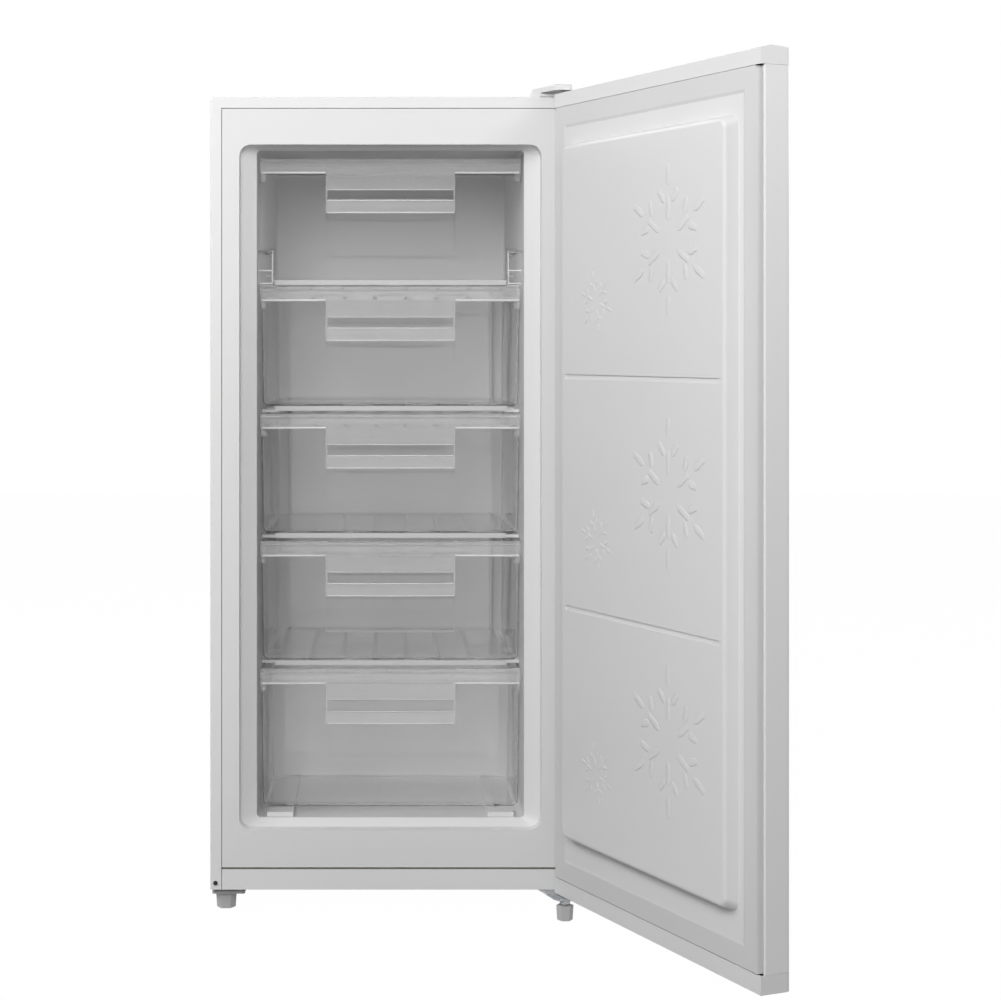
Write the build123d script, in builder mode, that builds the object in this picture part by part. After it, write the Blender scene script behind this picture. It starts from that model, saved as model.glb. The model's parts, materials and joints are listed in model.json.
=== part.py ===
"""Upright freezer: one door, four clear drawers and a clear drop-down flap.

Modelled in millimetres in the cabinet's own frame: X = 0 is the middle of the cabinet, Y = 0 the
plane of the front frame with -Y towards the user, Z = 0 the floor. The door is modelled shut and
turned open about its pins when it is written out.
"""
import os
from build123d import *

os.makedirs("parts", exist_ok=True)

# ---------------------------------------------------------------- clearances
gap = 0.3            # between two pieces that don't touch
run = 0.05           # radial, round a shaft that turns
# ---------------------------------------------------------------- cabinet
cab_half = 275.0
cab_depth = 513.0
cab_low = 34.5
cab_high = 1244.6
cab_shift = -120.0   # where the cabinet's middle stands, so that door and cabinet are centred
sheet = 0.8
cab_corner = 5.0
border = 17.0
border_gap = 1.0
foam_back = 14.0      # how far the foam stays behind the seams of the front frame
rail_high = 65.5
rail_deep = 20.0
frame_low = 68.5
# ---------------------------------------------------------------- mouth and liner
mouth_half = 231.0
mouth_low = 125.0
mouth_high = 1172.0
mouth_radius = 18.0
throat_deep = 18.0
throat_draft = 1.5
hold_front = 30.0
hold_back = 450.0
hold_half = 206.0
hold_rear_half = 199.0
hold_low = 138.0
hold_high = 1165.5
hold_radius = 7.0
liner_wall = 2.0
hump_front = 320.0
hump_high = 345.0
# ---------------------------------------------------------------- machine bay
bay_front = 345.0
bay_high = 300.0
tray_low = 34.8
# ---------------------------------------------------------------- door
pivot_x = 268.0
pivot_y = -20.0
door_angle = 114.0
door_front = -48.0
door_back = -8.0
cap_back = -2.0
door_low = 35.0
door_high = 1250.0
cap_high = 25.0
door_corner = 6.0
hem = 2.25
seal_out = 269.0
seal_wide = 28.0
seal_low = 1.5        # from the lower cap to the seal
seal_high = 1.1       # from the upper cap to the seal
seal_seat = -10.0
seal_face = -0.3
plug_half = 225.0
plug_low = 130.0
plug_high = 1166.0
plug_face = 17.0
plug_draft = 5.5
groove_inset = 12.0
groove_deep = 2.0
door_wall = 1.5
groove_heights = (819.0, 477.0)
groove_half = 3.5
# ---------------------------------------------------------------- hinges
pin_radius = 4.0
bush_radius = 5.4
plate = 3.0
top_plate_lift = 6.8
cover_high = 1259.5
cover_wall = 1.6
low_plate_top = 34.2
# ---------------------------------------------------------------- fixings, grip and dial
top_screws = ((236, 62), (262, 62), (244, 34))
low_screws = ((236, 62), (262, 62), (249, 40))
dial_x = -230.0
dial_y = 488.0
dial_z = 268.0
dial_radius = 20.0
spare_hole_x = 267.0
spare_hole_z = 44.6
grip_x = -185.0
grip_front = -42.0
grip_back = -24.0
grip_low = 1232.0
# ---------------------------------------------------------------- feet
foot_x = 253.0
foot_y = 35.0
foot_high = 23.0
foot_radius = 16.0
front_foot_x = 263.0
front_foot_y = -40.0
front_foot_radius = 13.0
stud_radius = 4.0
# ---------------------------------------------------------------- drawers
rim_tops = (957.0, 758.5, 560.0, 361.5)
drawer_half = 202.5
drawer_rear_half = 196.5
drawer_front = 68.0
drawer_back = 430.0
low_drawer_back = 300.0
drawer_deep = 186.0
low_drawer_floor = 145.5
drawer_wall = 2.2
drawer_corner = 35.0
front_corner = 14.0
floor_radius = 8.0
side_draft = 3.0
drawer_travel = 300.0
rim_front = 58.0
rim_tall = 22.0
rim_lip = 2.2
grip_half = 99.0
apron_low = 48.0
apron_back = 66.0
bar_top = 64.0
bar_low = 85.0
bar_front = 56.0
bar_thick = 4.0
bar_bow = 3.0
pocket_low = 150.0
pocket_deep = 22.0
pocket_top = 24.0
rib_count = 11
rib_pitch = 10.0
# ---------------------------------------------------------------- flap
flap_top = 1155.5
flap_low = 968.0
flap_notch = 1016.5
flap_low_half = 180.0
flap_front = 68.0
flap_thick = 2.5
flap_pin_y = 64.0
flap_pin_z = 973.0
# ---------------------------------------------------------------- evaporator shelves
tube_radius = 3.5
tube_runs = 8
tube_pitch = 50.0
tube_front = 78.0
tube_back = 424.0
wire_radius = 0.9
wire_first = 92.0
wire_pitch = 26.0
wire_count = 12
ledge_cells = (1, 5, 10)
# ---------------------------------------------------------------- refrigerant parts
condenser_x = 269.0
suction_radius = 3.2
capillary_radius = 1.0
capillary_x = -130.0
drier_x = -95.0
line_y = 482.0
link_y = 440.0
shelf_half = tube_pitch * (tube_runs - 1) / 2
compressor_x = 50.0
compressor_y = 430.0
mount_xs = (compressor_x - 85, compressor_x + 85)
mount_ys = (compressor_y - 45, compressor_y + 45)
seam_long = 79.0
seam_wide = 65.0
shell_low = 54.0
shell_high = 200.0
socket_x = compressor_x - 84

stand = Pos(cab_shift, 0, 0)
swing = Rot(0, 0, door_angle)
door_place = stand * Pos(pivot_x, pivot_y, 0) * swing * Pos(-pivot_x, -pivot_y, 0)


# ================================================================ small helpers
def keep(piece, name, place):
    """Name a finished piece and write it where it stands."""
    solid = piece.moved(place)
    solid.label = name
    export_step(solid, f"parts/{name}.step")


def block(x, y, z, mode=Mode.ADD):
    """Box between limits, in the part that is being built."""
    with Locations(((x[0] + x[1]) / 2, (y[0] + y[1]) / 2, (z[0] + z[1]) / 2)):
        Box(x[1] - x[0], y[1] - y[0], z[1] - z[0], mode=mode)


def post(x, y, z, radius, mode=Mode.ADD):
    """Upright cylinder between two heights."""
    with Locations((x, y, (z[0] + z[1]) / 2)):
        Cylinder(radius, z[1] - z[0], mode=mode)


def rod_y(x, z, y, radius, mode=Mode.ADD):
    """Cylinder along Y between two depths."""
    with Locations(Location((x, (y[0] + y[1]) / 2, z), (90, 0, 0))):
        Cylinder(radius, y[1] - y[0], mode=mode)


def rod_x(y, z, x, radius, mode=Mode.ADD):
    """Cylinder along X between two sides."""
    with Locations(Location(((x[0] + x[1]) / 2, y, z), (0, 90, 0))):
        Cylinder(radius, x[1] - x[0], mode=mode)


def pipe(points, radius, bend):
    """Round tube along straight runs joined by bends."""
    with BuildPart() as tube:
        with BuildLine() as path:
            FilletPolyline(*points, radius=bend)
        with BuildSketch(Plane(origin=path.line @ 0, z_dir=path.line % 0)):
            Circle(radius)
        sweep()
    return tube.part


def upright_section(y, half, low, high, radius):
    """Rounded rectangle in a plane that faces the user."""
    with BuildSketch(Plane.XZ.offset(-y)) as section:
        with Locations((0, (low + high) / 2)):
            RectangleRounded(2 * half, high - low, radius)
    return section.sketch


def cross_section(points, x):
    """Extrusion along X, between two sides, of a profile given as depth and height."""
    with BuildPart() as bar:
        with BuildSketch(Plane.YZ.offset(x[0])):
            with BuildLine():
                Polyline(*points, close=True)
            make_face()
        extrude(amount=x[1] - x[0])
    return bar.part


def plan_plate(points, z):
    """Flat plate between two heights from its outline in plan."""
    with BuildPart() as flat:
        with BuildSketch(Plane.XY.offset(z[0])):
            with BuildLine():
                Polyline(*points, close=True)
            make_face()
        extrude(amount=z[1] - z[0])
    return flat.part


# ================================================================ cabinet
def hold(grow, front):
    """Room inside the liner, its walls moved outwards by grow, from the depth front."""
    step = 0.6 * grow
    mouth = (mouth_half + grow, mouth_low - grow, mouth_high + grow, mouth_radius + grow)
    neck = (mouth_half - throat_draft + grow, mouth_low + throat_draft - grow,
            mouth_high - throat_draft + grow, mouth_radius + grow)
    inner = (hold_half + grow, hold_low - grow, hold_high + grow, hold_radius)
    rear = (hold_rear_half + grow, hold_low - grow, hold_high - 4 + grow, hold_radius)
    neck_y = throat_deep + step
    inner_y = hold_front + step
    with BuildPart() as room:
        loft(sections=[upright_section(front, *mouth), upright_section(neck_y, *neck)])
        loft(sections=[upright_section(neck_y, *neck), upright_section(inner_y, *inner)])
        loft(sections=[upright_section(inner_y, *inner), upright_section(hold_back + grow, *rear)])
        fillet(room.faces().sort_by(Axis.Y)[-1].edges(), hold_radius - 2)
        hump_y = hump_front + grow
        block((-300, 300), (hump_y, 500), (0, hump_high - grow), Mode.SUBTRACT)
    return room.part


def cabinet_shell(inset, y):
    """Solid outline of the cabinet's walls and top, inset from its outside."""
    with BuildPart() as shell:
        with BuildSketch(Plane.XZ.offset(-y[0])) as outline:
            with BuildLine():
                side = cab_half - inset
                top = cab_high - inset
                Polyline((-side, cab_low), (side, cab_low), (side, top), (-side, top), close=True)
            make_face()
            fillet(outline.vertices().group_by(Axis.Y)[-1], cab_corner)
        extrude(amount=-(y[1] - y[0]))
    return shell.part


def cabinet_wrap():
    with BuildPart() as wrap:
        add(cabinet_shell(0, (0, cab_depth)))
        front_edges = wrap.edges().filter_by(Axis.Z).group_by(Axis.Y)[0]
        fillet(front_edges, 2.2)
        add(cabinet_shell(sheet, (sheet, cab_depth + 1)), mode=Mode.SUBTRACT)
        inner = cab_half - border
        block((-cab_half, cab_half), (-1, cab_depth + 1), (cab_low - 1, cab_low), Mode.SUBTRACT)
        block((-inner, inner), (-1, sheet + 1), (0, cab_high - border), Mode.SUBTRACT)
        lows = cab_low - 1
        block((-cab_half + sheet, cab_half - sheet), (sheet, cab_depth + 1), (lows, 100), Mode.SUBTRACT)
        rod_y(-spare_hole_x, spare_hole_z, (-1, 3), 2.4, Mode.SUBTRACT)
        for x, y in top_screws:
            post(x, y, (cab_high - 5, cab_high + 5), 2.9, Mode.SUBTRACT)
    return wrap.part


def back_panel():
    side = cab_half - sheet - gap
    with BuildPart() as panel:
        block((-side, side), (cab_depth - sheet, cab_depth), (bay_high + gap, cab_high - sheet - gap))
        top = panel.edges().filter_by(Axis.Y).group_by(Axis.Z)[-1]
        fillet(top, cab_corner)
    return panel.part


def bay_holes(low, high, spare):
    """Ways for the refrigerant tubes through whatever lies over the machine bay."""
    for x in (-condenser_x, condenser_x):
        post(x, 470, (low, high), 2.4 + spare, Mode.SUBTRACT)
    post(-shelf_half, line_y, (low, high), suction_radius + spare, Mode.SUBTRACT)
    post(capillary_x, line_y, (low, high), capillary_radius + spare, Mode.SUBTRACT)


def base_pan():
    side = cab_half - sheet - gap
    front = rail_deep + 1
    back = cab_depth - gap - sheet
    with BuildPart() as pan:
        block((-side, side), (front, bay_front), (cab_low, cab_low + 1))
        block((-side, side), (bay_front - 1, bay_front), (cab_low, bay_high))
        block((-side, side), (bay_front - 1, back), (bay_high - 1, bay_high))
        bay_holes(bay_high - 5, bay_high + 5, 0.6)
        post(-foot_x, foot_y, (30, 40), stud_radius + 2, Mode.SUBTRACT)
        for x, y in low_screws:
            post(x, y, (30, 40), 2.9, Mode.SUBTRACT)
    return pan.part


def compressor_tray():
    side = cab_half - sheet - gap
    front = bay_front + gap
    with BuildPart() as tray:
        block((-side, side), (front, cab_depth - 1), (tray_low, tray_low + 1.2))
        block((-side, side), (cab_depth - 2.2, cab_depth - 1), (tray_low, tray_low + 14))
        for x in (-235, 235):
            post(x, 480, (30, 40), 4.3, Mode.SUBTRACT)
        for x in mount_xs:
            for y in mount_ys:
                post(x, y, (30, 40), 3.3, Mode.SUBTRACT)
    return tray.part


def front_bottom_rail():
    side = cab_half - border - border_gap
    top = rail_high
    profile = [(0, cab_low), (rail_deep, cab_low), (rail_deep, cab_low + sheet), (sheet, cab_low + sheet)]
    profile += [(sheet, top - sheet), (rail_deep, top - sheet), (rail_deep, top), (0, top)]
    return cross_section(profile, (-side, side))


def liner_collar():
    """Moulded frame and throat that lead from the cabinet's front to the liner."""
    side = cab_half - border - border_gap
    top = cab_high - border - border_gap
    with BuildPart() as collar:
        block((-side, side), (0, liner_wall), (frame_low, top))
        add(hold(liner_wall, 0))
        add(hold(0, -1), mode=Mode.SUBTRACT)
        block((-300, 300), (throat_deep, 600), (0, 1300), Mode.SUBTRACT)
    return collar.part


def inner_liner():
    """Formed inner box, butted against the collar."""
    with BuildPart() as liner:
        add(hold(liner_wall, 0))
        add(hold(0, -1), mode=Mode.SUBTRACT)
        block((-300, 300), (-1, throat_deep + 2 * run), (0, 1300), Mode.SUBTRACT)
        wall = (hold_back - 4, hold_back + 6)
        rod_y(-shelf_half, evaporator_levels()[-1], wall, suction_radius + gap, Mode.SUBTRACT)
        rod_y(-shelf_half, evaporator_levels()[0], wall, capillary_radius + gap, Mode.SUBTRACT)
    return liner.part


# ================================================================ refrigeration
def condenser_coil(radius):
    """Tube that gives off the heat through the side walls."""
    depths = [470, 390, 310, 230, 150]
    left = []
    for number, depth in enumerate(depths):
        low = 380 if number else 285
        ends = (low, 1200) if number % 2 == 0 else (1200, low if number else 285)
        left += [(-condenser_x, depth, ends[0]), (-condenser_x, depth, ends[1])]
    left[-1] = (-condenser_x, 150, 1236)
    right = [(-x, y, z) for x, y, z in reversed(left)]
    return pipe(left + right, radius, 20)


def cabinet_foam():
    side = cab_half - sheet - gap
    front = liner_wall + gap
    with BuildPart() as foam:
        add(cabinet_shell(sheet + gap, (front, cab_depth - sheet - gap)))
        block((-side - 9, side + 9), (0, 600), (0, cab_low + 1 + gap), Mode.SUBTRACT)
        block((-side - 9, side + 9), (-1, rail_deep + gap), (0, rail_high + gap), Mode.SUBTRACT)
        block((-side - 9, side + 9), (bay_front - 1 - gap, 600), (0, bay_high + gap), Mode.SUBTRACT)
        seam = cab_half - border - border_gap - 4
        block((seam, side + 9), (-1, foam_back), (0, cab_high), Mode.SUBTRACT)
        block((-side - 9, -seam), (-1, foam_back), (0, cab_high), Mode.SUBTRACT)
        block((-side - 9, side + 9), (-1, foam_back), (cab_high - border - 5, cab_high), Mode.SUBTRACT)
        block((-side - 9, side + 9), (-1, foam_back), (0, frame_low + 4), Mode.SUBTRACT)
        add(hold(liner_wall + gap, 0), mode=Mode.SUBTRACT)
        add(condenser_coil(2.4 + gap), mode=Mode.SUBTRACT)
        add(suction_line(suction_radius + gap), mode=Mode.SUBTRACT)
        add(capillary_tube(capillary_radius + gap), mode=Mode.SUBTRACT)
        for x, y in top_screws:
            post(x, y, (cab_high - 16, cab_high), 3, Mode.SUBTRACT)
        for x, y in low_screws:
            post(x, y, (30, cab_low + 14), 3, Mode.SUBTRACT)
        post(-foot_x, foot_y, (30, 52), stud_radius + 2, Mode.SUBTRACT)
    return foam.part


def suction_line(radius):
    """Return tube from the lowest shelf, through the back wall and down to the compressor."""
    level = evaporator_levels()[-1]
    path = [(-shelf_half, link_y + tube_radius + gap, level), (-shelf_half, line_y, level)]
    path += [(-shelf_half, line_y, 120), (-shelf_half, compressor_y, 120), (socket_x, compressor_y, 120)]
    return pipe(path, radius, 7)


def capillary_tube(radius):
    """Thin feed from the drier to the highest shelf."""
    level = evaporator_levels()[0]
    path = [(-shelf_half, link_y + tube_radius + gap, level), (-shelf_half, line_y, level)]
    path += [(capillary_x, line_y, level), (capillary_x, line_y, 250), (drier_x, line_y, 250)]
    path += [(drier_x, line_y, 213)]
    return pipe(path, radius, 6)


def compressor():
    """Steel can in two halves with a rolled seam, a foot plate and two tube sockets."""
    seam = (shell_low + shell_high) / 2 + 8
    with BuildPart() as can:
        with BuildSketch(Plane.XY.offset(shell_low)):
            with Locations((compressor_x, compressor_y)):
                Ellipse(76, 62)
        extrude(amount=shell_high - shell_low)
        fillet(can.faces().sort_by(Axis.Z)[-1].edges(), 34)
        fillet(can.faces().sort_by(Axis.Z)[0].edges(), 14)
        with BuildSketch(Plane.XY.offset(seam)):
            with Locations((compressor_x, compressor_y)):
                Ellipse(seam_long, seam_wide)
        extrude(amount=5)
        with BuildSketch(Plane.XY.offset(shell_low - 3)):
            with Locations((compressor_x, compressor_y)):
                RectangleRounded(206, 112, 14)
        extrude(amount=4)
        for x in mount_xs:
            for y in mount_ys:
                post(x, y, (40, 70), 8.3, Mode.SUBTRACT)
        rod_x(compressor_y, 120, (socket_x - 6, compressor_x - 70), 5)
        rod_x(compressor_y, 120, (socket_x - 8, socket_x + 1), suction_radius + run, Mode.SUBTRACT)
    return can.part


def compressor_mounts():
    """Four rubber bushes that carry the compressor's foot plate."""
    with BuildPart() as mounts:
        for x in mount_xs:
            for y in mount_ys:
                post(x, y, (tray_low + 1.2 + gap, shell_low - 3 - gap), 11)
                post(x, y, (shell_low - 4, shell_low + 5), 8)
                post(x, y, (tray_low, shell_low + 9), 3.3, Mode.SUBTRACT)
    return mounts.part


def compressor_screws():
    with BuildPart() as screws:
        for x in mount_xs:
            for y in mount_ys:
                post(x, y, (tray_low - 4.3, shell_low + 9), 3)
                post(x, y, (shell_low + 5 + gap, shell_low + 6.5), 9)
                with BuildSketch(Plane.XY.offset(shell_low + 6.5)):
                    with Locations((x, y)):
                        RegularPolygon(6, 6)
                extrude(amount=5)
                post(x, y, (tray_low - 4.3, tray_low - gap), 5.5)
    return screws.part


def terminal_cover():
    """Cover over the motor's terminals, shaped to the can that it sits against."""
    side = compressor_x + 72
    with BuildPart() as cover:
        block((side, side + 32), (compressor_y - 30, compressor_y + 30), (84, 150))
        fillet(cover.edges().filter_by(Axis.Z).group_by(Axis.X)[-1], 4)
        block((side - 1, side + 30), (compressor_y - 28, compressor_y + 28), (86, 148), Mode.SUBTRACT)
        with BuildSketch(Plane.XY.offset(80)):
            with Locations((compressor_x, compressor_y)):
                Ellipse(seam_long + gap, seam_wide + gap)
        extrude(amount=80, mode=Mode.SUBTRACT)
    return cover.part


def filter_drier():
    """Copper drier with necked ends, on the capillary."""
    with BuildPart() as drier:
        with BuildSketch(Plane.XZ.offset(-line_y)):
            with BuildLine():
                Polyline((0, 120), (4, 120), (4, 126), (10, 134), (10, 204), (4, 212))
                Polyline((4, 212), (4, 218), (0, 218), (0, 120))
            make_face()
        revolve(axis=Axis((0, line_y, 0), (0, 0, 1)))
        post(0, line_y, (212, 220), capillary_radius + run, Mode.SUBTRACT)
    return drier.part


def evaporator_path(height):
    points = []
    for number in range(tube_runs):
        x = -shelf_half + number * tube_pitch
        ends = (tube_back, tube_front) if number % 2 == 0 else (tube_front, tube_back)
        points += [(x, ends[0], height), (x, ends[1], height)]
    end_y = link_y - tube_radius - gap
    points[0] = (-shelf_half, end_y, height)
    points[-1] = (shelf_half, end_y, height)
    return points


def evaporator_shelf(height):
    """Shelf of one bent tube, cross wires welded under it and a flat bar across its front."""
    with BuildPart() as shelf:
        add(pipe(evaporator_path(height), tube_radius, tube_pitch / 2 - 0.5))
        drop = height - tube_radius - wire_radius + 0.5
        for number in range(wire_count):
            y = wire_first + number * wire_pitch
            rod_x(y, drop, (-shelf_half - 3, shelf_half + 3), wire_radius)
        edge = tube_front - tube_radius
        block((-shelf_half - 5, shelf_half + 5), (edge - 1.9, edge + 0.5), (height - 4, height + 3.4))
    return shelf.part


def shelf_height(number):
    """Height of the tubes that carry a drawer."""
    return rim_tops[number] - drawer_deep - gap - tube_radius


def evaporator_levels():
    """Flap compartment floor and the shelves under the three upper drawers."""
    first = rim_tops[0] + 6.5
    return [first] + [shelf_height(number) for number in range(3)]


def wall_half(y):
    """Half width of the liner at a depth."""
    part = (y - hold_front) / (hold_back - hold_front)
    return hold_half + (hold_rear_half - hold_half) * part


def shelf_ledges():
    """Ledges on the side walls under the outer tubes of each shelf."""
    with BuildPart() as ledges:
        for height in evaporator_levels():
            for cell in ledge_cells:
                y = wire_first + wire_pitch * (cell + 0.5)
                wall = wall_half(y + 8) - gap
                for side in (-1, 1):
                    edges = sorted((side * (shelf_half - 5), side * wall))
                    block(edges, (y - 8, y + 8), (height - 8, height - tube_radius - run))
    return ledges.part


def evaporator_links():
    """Risers at the rear that join the shelves."""
    levels = evaporator_levels()
    with BuildPart() as links:
        for number in range(3):
            x = shelf_half if number % 2 == 0 else -shelf_half
            post(x, link_y, (levels[number + 1] - 5, levels[number] + 5), tube_radius)
    return links.part


# ================================================================ machine bay, remaining pieces
def thermostat_body():
    with BuildPart() as body:
        block((dial_x - 25, dial_x + 25), (445, dial_y), (238, bay_high - 1 - gap))
        fillet(body.edges().filter_by(Axis.Y), 3)
        rod_y(dial_x, dial_z, (dial_y - 1, dial_y + 11), 3)
    return body.part


def thermostat_knob():
    """Round dial with a raised grip across it."""
    with BuildPart() as knob:
        rod_y(dial_x, dial_z, (dial_y + gap, dial_y + 7), dial_radius)
        block((dial_x - 3.5, dial_x + 3.5), (dial_y + 6, dial_y + 17), (dial_z - 18, dial_z + 18))
        fillet(knob.edges().filter_by(Axis.Y), 1.2)
        rod_y(dial_x, dial_z, (dial_y - 1, dial_y + 12), 3 + run, Mode.SUBTRACT)
    return knob.part


def mains_inlet():
    """Clamp through which the supply cord enters."""
    with BuildPart() as gland:
        block((-250, -215), (484, 510), (tray_low + 1.2 + gap, 76))
        fillet(gland.edges().filter_by(Axis.Y), 3)
        rod_y(-232.5, 60, (480, 515), 4.5, Mode.SUBTRACT)
    return gland.part


def rear_feet():
    with BuildPart() as feet:
        for x in (-235, 235):
            post(x, 480, (0, tray_low - gap), 14)
            post(x, 480, (tray_low - 1, tray_low + 9), 4)
    return feet.part


# ================================================================ hinges
def screw_group(points, seat, tip, head):
    """Pan-head screws that stand on a plate, tips at the height tip."""
    with BuildPart() as group:
        for x, y in points:
            post(x, y, sorted((seat, tip)), 2.3)
            post(x, y, sorted((seat, seat + head)), 4.6)
    return group.part


def top_hinge_bracket():
    low = cab_high + gap
    high = low + top_plate_lift
    profile = [(80, low), (80, low + plate), (8, low + plate), (0, high + plate), (-34, high + plate)]
    profile += [(-34, high), (-1.5, high), (6.5, low)]
    outline = [(224, 81), (224, 18), (255, -30), (259, -34), (269, -34), (273, -30), (273, 81)]
    with BuildPart() as bracket:
        add(cross_section(profile, (220, 276)))
        add(plan_plate(outline, (low - 1, high + plate + 1)), mode=Mode.INTERSECT)
        post(pivot_x, pivot_y, (low, high + 9), pin_radius + gap, Mode.SUBTRACT)
        for x, y in top_screws:
            post(x, y, (low - 1, low + 9), 2.7, Mode.SUBTRACT)
    return bracket.part


def top_hinge_pin():
    seat = cab_high + gap + top_plate_lift + plate
    with BuildPart() as pin:
        post(pivot_x, pivot_y, (door_high - cap_high + 3, seat + gap + 1), pin_radius)
        post(pivot_x, pivot_y, (seat + gap, seat + gap + 1.8), pin_radius + 1)
    return pin.part


def top_hinge_cover():
    """Moulded cover over the bracket, cut back where it passes over the door."""
    outline = [(218, 88), (218, 20), (249, -36), (275, -36), (275, 88)]
    low = cab_high + gap
    with BuildPart() as cover:
        with BuildSketch(Plane.XY.offset(low)) as plan:
            with BuildLine():
                Polyline(*outline, close=True)
            make_face()
            fillet(plan.vertices(), 5)
        extrude(amount=cover_high - low)
        fillet(cover.faces().sort_by(Axis.Z)[-1].edges(), 2.5)
        with BuildSketch(Plane.XY.offset(low)) as room:
            add(plan.sketch)
            offset(amount=-cover_wall, mode=Mode.REPLACE)
        extrude(amount=cover_high - low - cover_wall, mode=Mode.SUBTRACT)
        block((200, 290), (-50, -0.5), (low - 1, door_high + 0.9), Mode.SUBTRACT)
        block((230.5, 274.5), (-0.5, 0.7), (low, low + 4.6))
    return cover.part


def bottom_hinge_bracket():
    outline = [(224, 78), (224, 18), (246, -46), (252, -54), (275, -54), (275, 78)]
    with BuildPart() as bracket:
        add(plan_plate(outline, (low_plate_top - plate, low_plate_top)))
        fillet(bracket.edges().filter_by(Axis.Z).group_by(Axis.Y)[0], 2)
        post(pivot_x, pivot_y, (20, 50), pin_radius + gap, Mode.SUBTRACT)
        post(front_foot_x, front_foot_y, (20, 50), stud_radius + run, Mode.SUBTRACT)
        for x, y in low_screws:
            post(x, y, (20, 50), 2.7, Mode.SUBTRACT)
    return bracket.part


def bottom_hinge_pin():
    low = low_plate_top - plate - gap
    with BuildPart() as pin:
        post(pivot_x, pivot_y, (low - 1, door_low + cap_high - 4), pin_radius)
        post(pivot_x, pivot_y, (low - 2, low), pin_radius + 1.6)
    return pin.part


def hinge_screws():
    top_seat = cab_high + gap + plate + gap
    low_seat = low_plate_top - plate - gap
    with BuildPart() as screws:
        add(screw_group(top_screws, top_seat, cab_high - 14, 2.6))
        add(screw_group(low_screws, low_seat, cab_low + 12, -2.4))
    return screws.part


def blanking_plug():
    """Dark plug in the spare hole of the lower border."""
    with BuildPart() as plug:
        rod_y(-spare_hole_x, spare_hole_z, (-1.4, -gap), 3.4)
        rod_y(-spare_hole_x, spare_hole_z, (-0.5, 6), 2.1)
    return plug.part


# ================================================================ feet
def hex_foot(x, y, radius, high, top):
    """Levelling foot: tapered six-sided body under a stud."""
    with BuildPart() as foot:
        with BuildSketch(Plane.XY):
            with Locations((x, y)):
                RegularPolygon(radius * 0.9, 6)
        with BuildSketch(Plane.XY.offset(high)):
            with Locations((x, y)):
                RegularPolygon(radius, 6)
        loft()
        post(x, y, (high - 1, top), stud_radius)
    return foot.part


def foot_socket():
    """Threaded plate under the cabinet for the left foot."""
    with BuildPart() as socket:
        block((-273.5, -foot_x + 30), (foot_y - 20, foot_y + 20), (foot_high + 1.3, foot_high + 6))
        fillet(socket.edges().filter_by(Axis.Z), 4)
        post(-foot_x, foot_y, (foot_high + 5, cab_low - gap), 12)
        post(-foot_x, foot_y, (20, 40), stud_radius + run, Mode.SUBTRACT)
    return socket.part


def foot_nut():
    """Lock nut of the foot under the hinge plate."""
    with BuildPart() as nut:
        with BuildSketch(Plane.XY.offset(24.5)):
            with Locations((front_foot_x, front_foot_y)):
                RegularPolygon(8, 6)
        extrude(amount=low_plate_top - plate - gap - 24.5)
        post(front_foot_x, front_foot_y, (20, 40), stud_radius + run, Mode.SUBTRACT)
    return nut.part


# ================================================================ door
def door_plan(inset, back, z):
    """Door outline in plan, inset from its outside, between two heights."""
    side = cab_half - inset
    front = door_front + inset
    with BuildPart() as form:
        with BuildSketch(Plane.XY.offset(z[0])) as plan:
            with BuildLine():
                Polyline((-side, front), (side, front), (side, back), (-side, back), close=True)
            make_face()
            fillet(plan.vertices().group_by(Axis.Y)[0], max(door_corner - inset, 1.5))
        extrude(amount=z[1] - z[0])
    return form.part


def door_skin():
    """Steel front with folded sides that end in a rolled hem."""
    z = (door_low + cap_high + gap, door_high - cap_high - gap)
    back = door_back - hem
    with BuildPart() as skin:
        add(door_plan(0, back, z))
        add(door_plan(sheet, back + 1, (z[0] - 1, z[1] + 1)), mode=Mode.SUBTRACT)
        for x in (-cab_half + hem, cab_half - hem):
            post(x, back, z, hem)
    return skin.part


def cap_profile(drop):
    """Domed section of the top cap, lowered by drop."""
    top = door_high - drop
    low = door_high - cap_high - 1
    crest_y = door_back - 10
    with BuildPart() as dome:
        with BuildSketch(Plane.YZ.offset(-300)) as section:
            with BuildLine():
                Polyline((door_front - 1, low), (cap_back + 1, low), (cap_back + 1, top - 4.4),
                         (crest_y, top), (door_front - 1, top - 3), close=True)
            make_face()
            fillet(section.vertices().sort_by(Axis.Y)[-1], 14)
        extrude(amount=600)
    return dome.part


def door_top_cap():
    """Moulded top end of the door with a pull grip let into its top."""
    low = door_high - cap_high
    wall = 2.2
    with BuildPart() as hollow:
        add(door_plan(wall, cap_back - wall, (low - 1, door_high)))
        add(cap_profile(wall), mode=Mode.INTERSECT)
        block((grip_x - 57.2, grip_x + 57.2), (grip_front - wall, grip_back + wall),
              (grip_low - wall, door_high), Mode.SUBTRACT)
        post(pivot_x, pivot_y, (low - 2, door_high + 1), bush_radius + gap + 1.6, Mode.SUBTRACT)
    with BuildPart() as cap:
        add(door_plan(0, cap_back, (low, door_high + 1)))
        add(cap_profile(0), mode=Mode.INTERSECT)
        add(hollow.part, mode=Mode.SUBTRACT)
        block((grip_x - 55, grip_x + 55), (grip_front, grip_back), (grip_low, door_high + 2), Mode.SUBTRACT)
        post(pivot_x, pivot_y, (low - 2, door_high + 2), bush_radius + gap, Mode.SUBTRACT)
    return cap.part


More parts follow.
